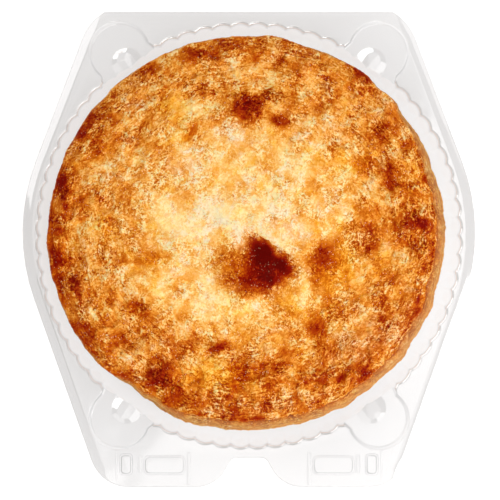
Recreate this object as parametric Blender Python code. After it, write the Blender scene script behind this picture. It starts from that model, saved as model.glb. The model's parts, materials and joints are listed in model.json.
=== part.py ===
"""A family beef pot pie in the clear thermoformed tray that it is sold in.

Metres, +Z up. The origin is the middle of the tray's round well, on the surface that
the tray stands on. +Y points to the straight hinge edge and +X to the right.

The tray is one thin sheet: a bent flange, with the round fluted well, four corner
pockets and the snaps of its two tabs pressed into it. The pie is one solid: a flaky
lid with blisters and a fold, closed down onto the rim of its bottom crust.
"""

import math

import bmesh
import bpy
from mathutils import Vector, noise

MM = 0.001

# The sheet that the tray is pressed from
SHEET = 0.6 * MM
FLANGE_TOP = 30 * MM
EDGE_BAND = 5 * MM  # along the slanted sides the flange bends down over this width
EDGE_DROP = 1.6 * MM
EDGE_LIP = 1.5 * MM  # width of the same strip where the edge stays flat
SLANT_FROM = 0.55  # how far an edge has to face sideways before it bends down
SLANT_FULL = 0.85
CORNER_STEP = math.radians(14)  # angle between the points of a rounded corner
SNAP_CORNER_STEP = math.radians(45)

# Right half of the flange's outline, hinge edge to notch: x, y, corner radius
OUTLINE = (
    (83.1 * MM, 128.5 * MM, 0),  # the hinge edge ends in a sharp corner
    (92.5 * MM, 122.4 * MM, 30 * MM),
    (137.9 * MM, 3.0 * MM, 115 * MM),  # widest point of the side
    (85.3 * MM, -144.8 * MM, 23 * MM),  # outer corner of a snap tab
    (18.6 * MM, -144.8 * MM, 20 * MM),  # inner corner of a snap tab
    (9.7 * MM, -127.9 * MM, 5 * MM),  # foot of the notch
)

# Round well with upright flutes
FLUTES = 72
FLUTE_POINTS = 3
CUT_OVER = 2 * MM  # cutters stand this far above the flange
WELL = (  # inner surface: height, radius at a flute's crest, depth of the flute
    (SHEET, 106.0 * MM, 0.4 * MM),
    (3.0 * MM, 110.5 * MM, 1.0 * MM),
    (FLANGE_TOP, 122.5 * MM, 1.6 * MM),
    (FLANGE_TOP + CUT_OVER, 123.4 * MM, 1.6 * MM),
)

# Corner pockets: a shallow round ledge, and a trough that runs down from it to the well
POCKET_X = 74.5 * MM
POCKET_Y = 105.5 * MM
POCKET_STEPS = 12
LEDGE_RADIUS = 17.8 * MM
LEDGE_SPREAD = math.radians(16)  # its straight sides open towards the well
LEDGE_SLOPE = 3.6 * MM
LEDGE_HEIGHT = 26 * MM
LEDGE_REACH = 16 * MM
TROUGH_SHIFT = 6.5 * MM  # its round end is this far nearer to the well
TROUGH = (  # inner surface: half width, height; the last level stands above the ledge
    (2.4 * MM, 21.7 * MM),
    (5.8 * MM, 22.8 * MM),
    (9.3 * MM, 26.0 * MM),
    (10.1 * MM, 27.0 * MM),
)
TROUGH_FALL = 0.30  # how fast the floor falls towards the well
TROUGH_REACH = 18 * MM

# Snaps on each tab, right-hand side: middle x, middle y, width, length
SNAP_PLATE = (48.6 * MM, -132.0 * MM, 24.2 * MM, 11.4 * MM)
SNAP_BAR = (62.6 * MM, -131.4 * MM, 2.6 * MM, 10.4 * MM)
SNAP_BUTTON = (70.6 * MM, -131.6 * MM, 7.6 * MM, 12.4 * MM)
SNAP_RIDGE = (34.6 * MM, -134.0 * MM, 2.6 * MM, 19.0 * MM)
SNAP_CREASE = (76.2 * MM, -130.4 * MM, 1.2 * MM, 20.0 * MM)
PLATE_RISE = 1.8 * MM
BAR_RISE = 1.4 * MM
BUTTON_RISE = 2.4 * MM
RIDGE_RISE = 0.9 * MM
CREASE_RISE = 0.5 * MM
SNAP_TAPER = 0.5 * MM
SNAP_ROUND = 0.6  # corner radius as a share of the shorter half width

# The pie
GAP = 0.3 * MM
PIE_X = -1.1 * MM
PIE_Y = 0.4 * MM
PIE_RADIUS = 114.0 * MM
PIE_BASE = SHEET + GAP
RIM_HEIGHT = 35 * MM
DOME = 8 * MM
LID_CELLS = 48  # squares across the lid before it is made round
EDGE_ROUND = 2.6 * MM
EDGE_ROUND_FROM = 0.93

# Bulges and flats of the outline: direction, half width, how far out
OUTLINE_BULGES = (
    (math.radians(8), math.radians(14), 0.7 * MM),
    (math.radians(58), math.radians(6), 1.0 * MM),
    (math.radians(70), math.radians(6), -1.3 * MM),
    (math.radians(82), math.radians(6), 1.4 * MM),
    (math.radians(128), math.radians(30), 0.8 * MM),
    (math.radians(186), math.radians(14), 1.1 * MM),
    (math.radians(234), math.radians(10), -4.3 * MM),
    (math.radians(276), math.radians(14), -1.2 * MM),
)

# The lower right side shows the bottom crust's rim beyond the lid
RIM_SHOWS_AT = math.radians(-38)
RIM_SHOWS_HALF = math.radians(84)
RIM_SHOWS_FULL = 0.55  # share of that half within which it shows in full

# Side of the crust below the lid's edge: drop from the edge, then how far inside
# the outline where the rim is covered and where it shows
SIDE = (
    (0.0 * MM, 1.5 * MM, 6.6 * MM),  # edge of the lid
    (2.6 * MM, 0.5 * MM, 5.6 * MM),
    (3.8 * MM, 0.9 * MM, 5.9 * MM),  # crease between lid and rim
    (4.6 * MM, 0.2 * MM, 2.6 * MM),
    (8.0 * MM, 0.0 * MM, 0.0 * MM),  # widest
    (17.0 * MM, 4.0 * MM, 3.4 * MM),
    (31.5 * MM, 13.0 * MM, 13.0 * MM),
    (RIM_HEIGHT - PIE_BASE, 16.4 * MM, 16.4 * MM),  # base
)

# Raised places on the lid: x, y, half length, half width, direction, height
BLISTERS = (
    (9.2 * MM, -18.5 * MM, 13.0 * MM, 11.0 * MM, 0.3, 3.2 * MM),  # by the fold
    (-9.5 * MM, -20.5 * MM, 11.0 * MM, 8.0 * MM, 0.0, 1.2 * MM),
    (0.6 * MM, 74.8 * MM, 14.0 * MM, 7.0 * MM, 0.15, 2.6 * MM),  # towards the hinge
    (18.0 * MM, 65.5 * MM, 6.5 * MM, 4.5 * MM, 0.5, 1.5 * MM),
    (-17.0 * MM, -62.5 * MM, 5.5 * MM, 5.0 * MM, 0.0, 1.7 * MM),
    (-105.0 * MM, 28.5 * MM, 4.5 * MM, 11.0 * MM, 0.1, 1.4 * MM),
    (-2.2 * MM, -35.0 * MM, 12.0 * MM, 8.0 * MM, 0.0, 1.6 * MM),
    (14.0 * MM, 24.0 * MM, 34.0 * MM, 22.0 * MM, 0.5, 2.2 * MM),  # pale bubble
    (-42.0 * MM, -4.0 * MM, 16.0 * MM, 10.0 * MM, 1.2, 1.3 * MM),
    (62.0 * MM, 22.0 * MM, 10.0 * MM, 18.0 * MM, 0.3, 1.4 * MM),
    (45.0 * MM, -52.0 * MM, 16.0 * MM, 9.0 * MM, -0.6, 1.3 * MM),
    (-55.0 * MM, -58.0 * MM, 15.0 * MM, 9.0 * MM, 0.8, 1.4 * MM),
    (-48.0 * MM, 58.0 * MM, 18.0 * MM, 9.0 * MM, 0.7, 1.3 * MM),
)

# Pinched fold in the lid: a V round the bubble's lower end, and a tail running down
FOLD = (
    ((3.5 * MM, 7.7 * MM), (19.0 * MM, -4.5 * MM)),
    ((19.0 * MM, -4.5 * MM), (29.5 * MM, -10.5 * MM)),
    ((29.5 * MM, -10.5 * MM), (37.6 * MM, 1.0 * MM)),
    ((32.0 * MM, -11.0 * MM), (30.6 * MM, -37.0 * MM)),
)
FOLD_HALF_WIDTH = 3.4 * MM
FOLD_HEIGHT = 2.2 * MM

# Lumps of the baked dough: size, height in the middle, height at the rim
LUMPS = (
    (30 * MM, 1.4 * MM, 1.8 * MM),
    (13 * MM, 0.8 * MM, 1.8 * MM),
    (6.5 * MM, 0.4 * MM, 1.3 * MM),
)
LUMP_LAYER = 4.0  # the noise is read this far apart for each size, so that they differ
LUMP_START = 1.7
CRAGGY_FROM = 0.45  # share of the radius from which the dough gets craggy
CRAGGY_FULL = 0.85
RELIEF_ENDS = 0.95  # share of the radius where the relief starts to fade into the edge

# Flakes: plates of dough that have lifted and tilted, mostly near the rim
FLAKE_SIZE = 10 * MM
FLAKE_RISE = 1.3 * MM
FLAKE_TILT = 0.13
FLAKE_IN_MIDDLE = 0.3  # their height in the middle of the lid, as a share
FLAKE_SLICE = 0.5
FLAKE_LEANS = 3.1  # scatters the flakes' slopes and heights

# Uneven edge: the rim's slow waves, in and out and up and down, and the crumbly side
RIM_WAVE = 1.3 * MM
OUTLINE_WAVES = (9, 3.0)  # how closely the waves follow each other, and where they start
LID_WAVES = (5, 8.0)
LID_WAVES_FROM = 0.5  # share of the radius from which the lid follows its edge up and down
SIDE_CRUMB = 8 * MM
SIDE_ROUGH = 0.9 * MM


def clear_scene():
    for leftover in list(bpy.data.objects):
        bpy.data.objects.remove(leftover)


def new_collection(name):
    collection = bpy.data.collections.new(name)
    bpy.context.scene.collection.children.link(collection)
    return collection


def new_material(name, colour, roughness, alpha=1.0):
    material = bpy.data.materials.new(name)
    material.use_nodes = True
    shader = material.node_tree.nodes["Principled BSDF"]
    shader.inputs["Base Color"].default_value = (*colour, 1.0)
    shader.inputs["Roughness"].default_value = roughness
    shader.inputs["Metallic"].default_value = 0.0
    shader.inputs["Alpha"].default_value = alpha
    return material


def new_object(name, mesh, collection):
    """Turns a bmesh into a named object, with every face pointing out."""
    bmesh.ops.recalc_face_normals(mesh, faces=mesh.faces)
    data = bpy.data.meshes.new(name)
    mesh.to_mesh(data)
    mesh.free()
    data.update()
    thing = bpy.data.objects.new(name, data)
    collection.objects.link(thing)
    return thing


def loft(name, rings, collection):
    """A closed solid through rings of points that all have the same count, lowest first."""
    mesh = bmesh.new()
    loops = [[mesh.verts.new(point) for point in ring] for ring in rings]
    for lower, upper in zip(loops, loops[1:]):
        for i, corner in enumerate(lower):
            j = (i + 1) % len(lower)
            mesh.faces.new((corner, lower[j], upper[j], upper[i]))
    mesh.faces.new(list(reversed(loops[0])))
    mesh.faces.new(loops[-1])
    bmesh.ops.triangulate(mesh, faces=mesh.faces)
    return new_object(name, mesh, collection)


def helper(thing):
    """A body that is only joined to the tray or cut from it."""
    thing.hide_render = True
    thing.display_type = "WIRE"
    return thing


def smooth(low, high, value):
    share = min(max((value - low) / (high - low), 0.0), 1.0)
    return share * share * (3 - 2 * share)


def rounded(corners, angle_step):
    """Closed outline with each corner (x, y, radius) replaced by an arc."""
    points = []
    for i, (x, y, radius) in enumerate(corners):
        here = Vector((x, y))
        before = Vector(corners[i - 1][:2]) - here
        after = Vector(corners[(i + 1) % len(corners)][:2]) - here
        if radius == 0:
            points.append(here)
            continue
        before.normalize()
        after.normalize()
        half = before.angle(after) / 2
        start = here + before * radius / math.tan(half)
        end = here + after * radius / math.tan(half)
        middle = here + (before + after).normalized() * radius / math.sin(half)
        steps = max(2, round((math.pi - 2 * half) / angle_step))
        for step in range(steps + 1):
            on_chord = start.lerp(end, step / steps)
            points.append(middle + (on_chord - middle).normalized() * radius)
    return points


def outward(points, i):
    """Direction square to the outline at point i, for an outline that runs clockwise."""
    before = (points[i] - points[i - 1]).normalized()
    after = (points[(i + 1) % len(points)] - points[i]).normalized()
    along = before + after
    return Vector((-along.y, along.x)).normalized()


def flange(collection):
    """The flat sheet, bent down a little along its two slanted sides."""
    mirrored = tuple((-x, y, radius) for x, y, radius in reversed(OUTLINE))
    outline = rounded(OUTLINE + mirrored, CORNER_STEP)
    rim = []
    bend = []
    for i, point in enumerate(outline):
        out = outward(outline, i)
        facing = math.copysign(out.x, out.x * point.x)
        slanted = smooth(SLANT_FROM, SLANT_FULL, facing)
        inner = point - out * (EDGE_LIP + (EDGE_BAND - EDGE_LIP) * slanted)
        rim.append(Vector((point.x, point.y, FLANGE_TOP - EDGE_DROP * slanted)))
        bend.append(Vector((inner.x, inner.y, FLANGE_TOP)))
    down = Vector((0, 0, SHEET))
    under_bend = [point - down for point in bend]
    under_rim = [point - down for point in rim]
    return loft("tray", [under_bend, under_rim, rim, bend], collection)


def well_ring(height, radius, flute):
    """One level of the fluted wall: arcs that bulge out between sharp inner cusps."""
    points = []
    count = FLUTES * FLUTE_POINTS
    for i in range(count):
        from_crest = 2 * (i % FLUTE_POINTS) / FLUTE_POINTS - 1
        r = radius - flute * from_crest**2
        angle = math.tau * i / count
        points.append((r * math.cos(angle), r * math.sin(angle), height))
    return points


def well_shell(collection):
    """Outside of the well, from the floor's underside up into the flange."""
    floor, fillet, top, _ = WELL
    grown = (
        (floor[0] - SHEET, floor[1] + SHEET / 2, floor[2]),
        (fillet[0] - SHEET / 2, fillet[1] + SHEET, fillet[2]),
        (top[0] - SHEET / 2, top[1] + SHEET, top[2]),
    )
    rings = [well_ring(*level) for level in grown]
    return helper(loft("well_shell", rings, collection))


def well_hollow(collection):
    rings = [well_ring(*level) for level in WELL]
    return helper(loft("well_hollow", rings, collection))


def pocket_ring(side_x, side_y, shape, height, fall=0.0):
    """A round end away from the well with straight sides running in to it.

    shape is the round end's radius, its shift towards the well, the angle by which
    the sides open, and how far in they reach."""
    radius, shift, spread, reach = shape
    middle = Vector((side_x * POCKET_X, side_y * POCKET_Y))
    inward = -middle.normalized()
    across = Vector((-inward.y, inward.x))
    local = []
    half_turn = math.pi / 2 + spread
    for i in range(POCKET_STEPS + 1):
        angle = math.pi - half_turn + 2 * half_turn * i / POCKET_STEPS
        local.append((shift + radius * math.cos(angle), radius * math.sin(angle)))
    run = reach - local[0][0]
    widening = run * math.tan(spread)
    first = (reach, local[0][1] + widening)
    last = (reach, local[-1][1] - widening)
    points = []
    for along, aside in [first] + local + [last]:
        place = middle + inward * along + across * aside
        points.append((place.x, place.y, height - fall * (along + radius - shift)))
    return points


def grown(profile, grow):
    """A profile of (radius, height) points moved out square to itself."""
    moved = []
    for i, (radius, height) in enumerate(profile):
        before = profile[max(i - 1, 0)]
        after = profile[min(i + 1, len(profile) - 1)]
        run = (Vector(after) - Vector(before)).normalized()
        moved.append((radius + grow * run.y, height - grow * run.x))
    return moved


def pocket(side_x, side_y, grow, name, collection):
    """Ledge and trough of one corner pocket: the hollow, or its outside when grown."""
    top = FLANGE_TOP - SHEET / 2 if grow else FLANGE_TOP + CUT_OVER
    shown = LEDGE_SLOPE / (FLANGE_TOP - LEDGE_HEIGHT)
    above = shown * (top - FLANGE_TOP)
    ledge = [
        (LEDGE_RADIUS + grow - LEDGE_SLOPE, 0, LEDGE_SPREAD, LEDGE_REACH),
        (LEDGE_RADIUS + grow + above, 0, LEDGE_SPREAD, LEDGE_REACH),
    ]
    ledge_rings = [
        pocket_ring(side_x, side_y, ledge[0], LEDGE_HEIGHT - grow),
        pocket_ring(side_x, side_y, ledge[1], top),
    ]
    trough_rings = []
    for radius, height in grown(TROUGH, grow):
        depth = (LEDGE_HEIGHT - height) / (LEDGE_HEIGHT - TROUGH[0][1])
        fall = TROUGH_FALL * min(max(depth, 0.0), 1.0)
        shape = (radius, TROUGH_SHIFT, 0, TROUGH_REACH)
        trough_rings.append(pocket_ring(side_x, side_y, shape, height, fall))
    helper(loft(name + "_ledge", ledge_rings, collection))
    helper(loft(name + "_trough", trough_rings, collection))


def snap_ring(plan, side_x, height, shrink):
    x, y, width, length = plan
    half_x = width / 2 - shrink
    half_y = length / 2 - shrink
    radius = min(half_x, half_y) * SNAP_ROUND
    corners = [
        (side_x * x + sign_x * half_x, y + sign_y * half_y, radius)
        for sign_x, sign_y in ((1, 1), (1, -1), (-1, -1), (-1, 1))
    ]
    return [(point.x, point.y, height) for point in rounded(corners, SNAP_CORNER_STEP)]


def snap(plan, rise, side_x, name, shells, hollows=None):
    """A raised form on a tab. With hollows given it is pressed up, else it is a plain rib."""
    rings = [
        snap_ring(plan, side_x, FLANGE_TOP - SHEET / 2, 0),
        snap_ring(plan, side_x, FLANGE_TOP + rise, SNAP_TAPER),
    ]
    helper(loft(name, rings, shells))
    if hollows:
        rings = [
            snap_ring(plan, side_x, FLANGE_TOP - SHEET - CUT_OVER, SHEET),
            snap_ring(plan, side_x, FLANGE_TOP + rise - SHEET, SHEET + SNAP_TAPER),
        ]
        helper(loft(name + "_hollow", rings, hollows))


def boolean(thing, name, operation, collection):
    modifier = thing.modifiers.new(name, "BOOLEAN")
    modifier.operation = operation
    modifier.operand_type = "COLLECTION"
    modifier.collection = collection
    modifier.solver = "MANIFOLD"


def make_tray(parts, shells, hollows):
    tray = flange(parts)
    well_shell(shells)
    well_hollow(hollows)
    for side_x in (-1, 1):
        side = "right" if side_x > 0 else "left"
        for side_y in (-1, 1):
            end = "hinge" if side_y > 0 else "tab"
            name = f"pocket_{side}_{end}"
            pocket(side_x, side_y, SHEET, name + "_shell", shells)
            pocket(side_x, side_y, 0, name + "_hollow", hollows)
        snap(SNAP_PLATE, PLATE_RISE, side_x, "snap_plate_" + side, shells, hollows)
        snap(SNAP_BUTTON, BUTTON_RISE, side_x, "snap_button_" + side, shells, hollows)
        snap(SNAP_BAR, BAR_RISE, side_x, "snap_bar_" + side, shells)
        snap(SNAP_RIDGE, RIDGE_RISE, side_x, "snap_ridge_" + side, shells)
        snap(SNAP_CREASE, CREASE_RISE, side_x, "snap_crease_" + side, shells)
    boolean(tray, "shells", "UNION", shells)
    boolean(tray, "hollows", "DIFFERENCE", hollows)
    tray.data.materials.append(new_material("clear_plastic", (0.93, 0.94, 0.95), 0.08, 0.3))


def turn_between(angle, other):
    return abs((angle - other + math.pi) % math.tau - math.pi)


def wave(angle, waves):
    """Slow random wave round the pie."""
    often, start = waves
    return RIM_WAVE * noise.noise(Vector((often * math.cos(angle), often * math.sin(angle), start)))


def pie_outline(angle):
    """Radius of the pie's widest outline."""
    radius = PIE_RADIUS
    for direction, half, out in OUTLINE_BULGES:
        radius += out * math.exp(-((turn_between(angle, direction) / half) ** 2))
    return radius + wave(angle, OUTLINE_WAVES)


def rim_share(angle):
    """1 where the bottom crust's rim shows beyond the lid, 0 where the lid covers it."""
    away = turn_between(angle, RIM_SHOWS_AT) / RIM_SHOWS_HALF
    return 1 - smooth(RIM_SHOWS_FULL, 1.0, away)


def side_point(angle, level):
    """Radius and height of the crust's side at one level."""
    drop, covered, shown = SIDE[level]
    inside = covered + (shown - covered) * rim_share(angle)
    fade = 1 - drop / (RIM_HEIGHT - PIE_BASE)
    height = RIM_HEIGHT - drop + wave(angle, LID_WAVES) * fade
    around = PIE_RADIUS / SIDE_CRUMB
    crumb = Vector((around * math.cos(angle), around * math.sin(angle), height / SIDE_CRUMB))
    rough = SIDE_ROUGH * noise.noise(crumb) * fade
    return pie_outline(angle) - inside + rough, height


def to_segment(x, y, start, end):
    """Distance from a point to a straight piece of the fold."""
    here = Vector((x, y)) - Vector(start)
    run = Vector(end) - Vector(start)
    share = min(max(here.dot(run) / run.length_squared, 0.0), 1.0)
    return (here - run * share).length


def bumps(x, y):
    """Height of the blisters and the fold at a place on the lid."""
    height = 0.0
    for middle_x, middle_y, half_long, half_wide, direction, rise in BLISTERS:
        away_x = x - middle_x
        away_y = y - middle_y
        along = away_x * math.cos(direction) + away_y * math.sin(direction)
        aside = away_y * math.cos(direction) - away_x * math.sin(direction)
        height += rise * math.exp(-((along / half_long) ** 2) - (aside / half_wide) ** 2)
    nearest = min(to_segment(x, y, start, end) for start, end in FOLD)
    return height + FOLD_HEIGHT * math.exp(-((nearest / FOLD_HALF_WIDTH) ** 2))


def lumps(x, y, craggy):
    height = 0.0
    for layer, (size, middle_height, rim_height) in enumerate(LUMPS):
        place = Vector((x / size, y / size, LUMP_LAYER * layer + LUMP_START))
        rise = middle_height + (rim_height - middle_height) * craggy
        height += rise * noise.noise(place)
    return height


def flakes(x, y, craggy):
    """Tilted plates, each with its own height, the nearest middle deciding which."""
    place = Vector((x / FLAKE_SIZE, y / FLAKE_SIZE, FLAKE_SLICE))
    middle = noise.voronoi(place)[1][0]
    chance = noise.cell_vector(middle * FLAKE_LEANS)
    lean_x = FLAKE_TILT * (2 * chance.x - 1)
    lean_y = FLAKE_TILT * (2 * chance.y - 1)
    away = (place - middle) * FLAKE_SIZE
    height = FLAKE_RISE * chance.z + away.x * lean_x + away.y * lean_y
    return height * (FLAKE_IN_MIDDLE + (1 - FLAKE_IN_MIDDLE) * craggy)


def lid_height(x, y, angle, share):
    """Height of the lid's top at a place, share being 0 in the middle and 1 at its edge."""
    dome = DOME * (1 - share**2)
    edge = EDGE_ROUND * (1 - smooth(EDGE_ROUND_FROM, 1.0, share))
    inner = 1 - smooth(RELIEF_ENDS, 1.0, share)
    craggy = smooth(CRAGGY_FROM, CRAGGY_FULL, share)
    relief = (bumps(x, y) + lumps(x, y, craggy) + flakes(x, y, craggy)) * inner
    waves = wave(angle, LID_WAVES) * smooth(LID_WAVES_FROM, 1.0, share)
    return RIM_HEIGHT + waves + dome + edge + relief


def round_off(u, v):
    """Moves a point of the square from -1 to 1 onto the unit disc, keeping areas equal."""
    if u == 0 and v == 0:
        return 0.0, 0.0
    if abs(u) > abs(v):
        share, angle = u, math.pi / 4 * v / u
    else:
        share, angle = v, math.pi / 2 - math.pi / 4 * u / v
    if share < 0:
        share, angle = -share, angle + math.pi
    return share, angle


def make_pie(parts):
    """A grid made round for the lid, then pulled out and down level by level for the side."""
    mesh = bmesh.new()
    bmesh.ops.create_grid(mesh, x_segments=LID_CELLS, y_segments=LID_CELLS, size=1.0)
    for corner in mesh.verts:
        share, angle = round_off(round(corner.co.x, 6), round(corner.co.y, 6))
        radius = share * side_point(angle, 0)[0]
        x = PIE_X + radius * math.cos(angle)
        y = PIE_Y + radius * math.sin(angle)
        corner.co = (x, y, lid_height(x, y, angle, share))
    edge = [line for line in mesh.edges if line.is_boundary]
    for level in range(1, len(SIDE)):
        pulled = bmesh.ops.extrude_edge_only(mesh, edges=edge)["geom"]
        for corner in pulled:
            if isinstance(corner, bmesh.types.BMVert):
                angle = math.atan2(corner.co.y - PIE_Y, corner.co.x - PIE_X)
                radius, height = side_point(angle, level)
                if level == len(SIDE) - 1:
                    height = PIE_BASE
                x = PIE_X + radius * math.cos(angle)
                y = PIE_Y + radius * math.sin(angle)
                corner.co = (x, y, height)
        edge = [line for line in pulled if isinstance(line, bmesh.types.BMEdge)]
    bmesh.ops.contextual_create(mesh, geom=edge)
    bmesh.ops.triangulate(mesh, faces=mesh.faces)
    pie = new_object("pie", mesh, parts)
    pie.data.shade_smooth()
    pie.data.materials.append(new_material("baked_crust", (0.72, 0.42, 0.16), 0.55))


def main():
    clear_scene()
    parts = new_collection("beef_pot_pie")
    shells = new_collection("tray_shells")
    hollows = new_collection("tray_hollows")
    make_tray(parts, shells, hollows)
    make_pie(parts)


main()
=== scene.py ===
import json
import math

import bmesh
import bpy
import numpy as np
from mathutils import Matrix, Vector, noise

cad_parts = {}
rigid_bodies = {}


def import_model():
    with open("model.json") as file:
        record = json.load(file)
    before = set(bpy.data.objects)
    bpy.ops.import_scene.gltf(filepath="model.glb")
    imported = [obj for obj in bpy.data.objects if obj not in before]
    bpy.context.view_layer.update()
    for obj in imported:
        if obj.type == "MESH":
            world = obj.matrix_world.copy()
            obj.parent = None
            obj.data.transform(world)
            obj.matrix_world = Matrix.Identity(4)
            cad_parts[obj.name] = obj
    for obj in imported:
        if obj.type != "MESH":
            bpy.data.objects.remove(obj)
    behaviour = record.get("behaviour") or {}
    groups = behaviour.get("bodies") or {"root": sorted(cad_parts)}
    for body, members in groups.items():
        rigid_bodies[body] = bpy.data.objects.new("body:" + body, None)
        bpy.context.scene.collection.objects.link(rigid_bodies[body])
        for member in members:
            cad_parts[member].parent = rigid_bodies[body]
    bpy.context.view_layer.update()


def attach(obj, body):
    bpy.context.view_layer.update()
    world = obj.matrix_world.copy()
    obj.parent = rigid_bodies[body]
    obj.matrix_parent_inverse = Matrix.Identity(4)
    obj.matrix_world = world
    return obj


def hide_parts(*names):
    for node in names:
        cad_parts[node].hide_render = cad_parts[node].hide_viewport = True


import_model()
print("frame loaded")

# forms are worked out in millimetres and scaled once, when a mesh is made
toMetres = 0.001


class Wire:
    # a shader socket that ordinary operators work on
    def __init__(self, finish, socket):
        self.finish = finish
        self.socket = socket

    def sum(self, operation, first, second):
        return self.finish.node("Math", {"operation": operation}, {0: first, 1: second})

    def __add__(self, other):
        return self.sum("ADD", self, other)

    def __radd__(self, other):
        return self.sum("ADD", other, self)

    def __sub__(self, other):
        return self.sum("SUBTRACT", self, other)

    def __rsub__(self, other):
        return self.sum("SUBTRACT", other, self)

    def __mul__(self, other):
        return self.sum("MULTIPLY", self, other)

    def __rmul__(self, other):
        return self.sum("MULTIPLY", other, self)

    def __pow__(self, other):
        return self.sum("POWER", self, other)

    def __abs__(self):
        return self.sum("ABSOLUTE", self, 0.0)


class Finish:
    # one material; every node in it is made by node()
    def __init__(self, name):
        self.material = bpy.data.materials.new(name)
        self.material.use_nodes = True
        self.tree = self.material.node_tree
        self.tree.nodes.clear()

    def node(self, kind, settings=None, inputs=None, output=0):
        made = self.tree.nodes.new("ShaderNode" + kind)
        for name, value in (settings or {}).items():
            if name == "stops":
                fillRamp(made.color_ramp, value)
            else:
                setattr(made, name, value)
        for name, value in (inputs or {}).items():
            if isinstance(value, Wire):
                self.tree.links.new(value.socket, made.inputs[name])
            else:
                made.inputs[name].default_value = value
        return Wire(self, made.outputs[output])

    def read(self, name, output="Fac"):
        return self.node("Attribute", {"attribute_name": name}, output=output)

    def place(self):
        return self.node("TexCoord", output="Object")

    def grain(self, size, detail=2.0, distortion=0.0, roughness=0.5, place=None):
        # noise with features about this many millimetres across, from 0 to 1
        values = {"Vector": place or self.place(), "Scale": 1 / (size * toMetres), "Detail": detail}
        values.update({"Distortion": distortion, "Roughness": roughness})
        return self.node("TexNoise", inputs=values)

    def bend(self, size, reach, place=None):
        # places pushed about by noise, so that what is laid out on them gets crooked outlines
        place = place or self.place()
        values = {"Vector": place, "Scale": 1 / (size * toMetres), "Detail": 2.0}
        push = self.node("TexNoise", inputs=values, output="Color")
        push = self.node("VectorMath", {"operation": "SUBTRACT"}, {0: push, 1: (0.5, 0.5, 0.5)})
        push = self.node("VectorMath", {"operation": "SCALE"}, {0: push, "Scale": 2 * reach * toMetres})
        return self.node("VectorMath", {"operation": "ADD"}, {0: place, 1: push})

    def scaled(self, factors):
        return self.node("VectorMath", {"operation": "MULTIPLY"}, {0: self.place(), 1: factors})

    def cells(self, size, place):
        # crumbs of about this size: a random shade for each, and the distance from its middle
        values = {"Vector": place, "Scale": 1 / (size * toMetres)}
        colour = self.node("TexVoronoi", inputs=values, output="Color")
        away = self.node("TexVoronoi", inputs=values, output="Distance")
        return self.node("SeparateColor", inputs={0: colour}), away

    def above(self, value, limit):
        # how far a value is above a limit
        return self.node("Math", {"operation": "MAXIMUM"}, {0: value - limit, 1: 0.0})

    def span(self, value, low, high, toLow=0.0, toHigh=1.0):
        values = {"Value": value, "From Min": low, "From Max": high}
        values.update({"To Min": toLow, "To Max": toHigh})
        return self.node("MapRange", {"interpolation_type": "SMOOTHSTEP"}, values)

    def wander(self, reach, *grain):
        # noise that swings to both sides of 0
        return reach * (self.grain(*grain) - 0.5)

    def patches(self, grain, shows):
        # 1 in some patches of the noise and 0 in the others, unless shows ends with other values
        return self.span(self.grain(*grain), *shows)

    def between(self, share, first, second):
        return first + (second - first) * share

    def weighed(self, parts, weights):
        # sum of the parts, each times its own weight
        return sum(weight * parts[name] for name, weight in weights.items())

    def ramp(self, value, stops):
        return self.node("ValToRGB", {"stops": stops}, {"Fac": value}, output="Color")

    def mix(self, share, first, second):
        return self.node("Mix", {"data_type": "RGBA"}, {0: share, 6: first, 7: second}, output=2)

    def show(self, surface):
        output = self.tree.nodes.new("ShaderNodeOutputMaterial")
        self.tree.links.new(surface.socket, output.inputs["Surface"])
        return self.material


def fillRamp(ramp, stops):
    while len(ramp.elements) < len(stops):
        ramp.elements.new(1.0)
    for element, (position, colour) in zip(ramp.elements, stops):
        element.position = position
        element.color = colour


def paint(red, green, blue):
    # a colour as seen on a screen, 0 to 255, turned into the linear values that shaders use
    screen = [value / 255 for value in (red, green, blue)]
    return (*[v / 12.92 if v <= 0.04045 else ((v + 0.055) / 1.055) ** 2.4 for v in screen], 1.0)


def smooth(low, high, value):
    # 0 below low, 1 above high, eased in between
    share = np.clip((value - low) / (high - low), 0.0, 1.0)
    return share * share * (3 - 2 * share)


def addPiece(name, points, faces, node, material):
    # a mesh in millimetres becomes a shaded piece that stands for one CAD node
    mesh = bpy.data.meshes.new(name)
    mesh.from_pydata((np.asarray(points) * toMetres).tolist(), [], faces)
    mesh.shade_smooth()
    piece = bpy.data.objects.new(name, mesh)
    bpy.context.scene.collection.objects.link(piece)
    mesh.materials.append(material)
    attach(piece, "root")
    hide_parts(node)
    return piece


def keepValues(mesh, name, values):
    # one number for each point, which the finish reads by its name
    layer = mesh.attributes.new(name, "FLOAT", "POINT")
    layer.data.foreach_set("value", values.astype(np.float32))


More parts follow.
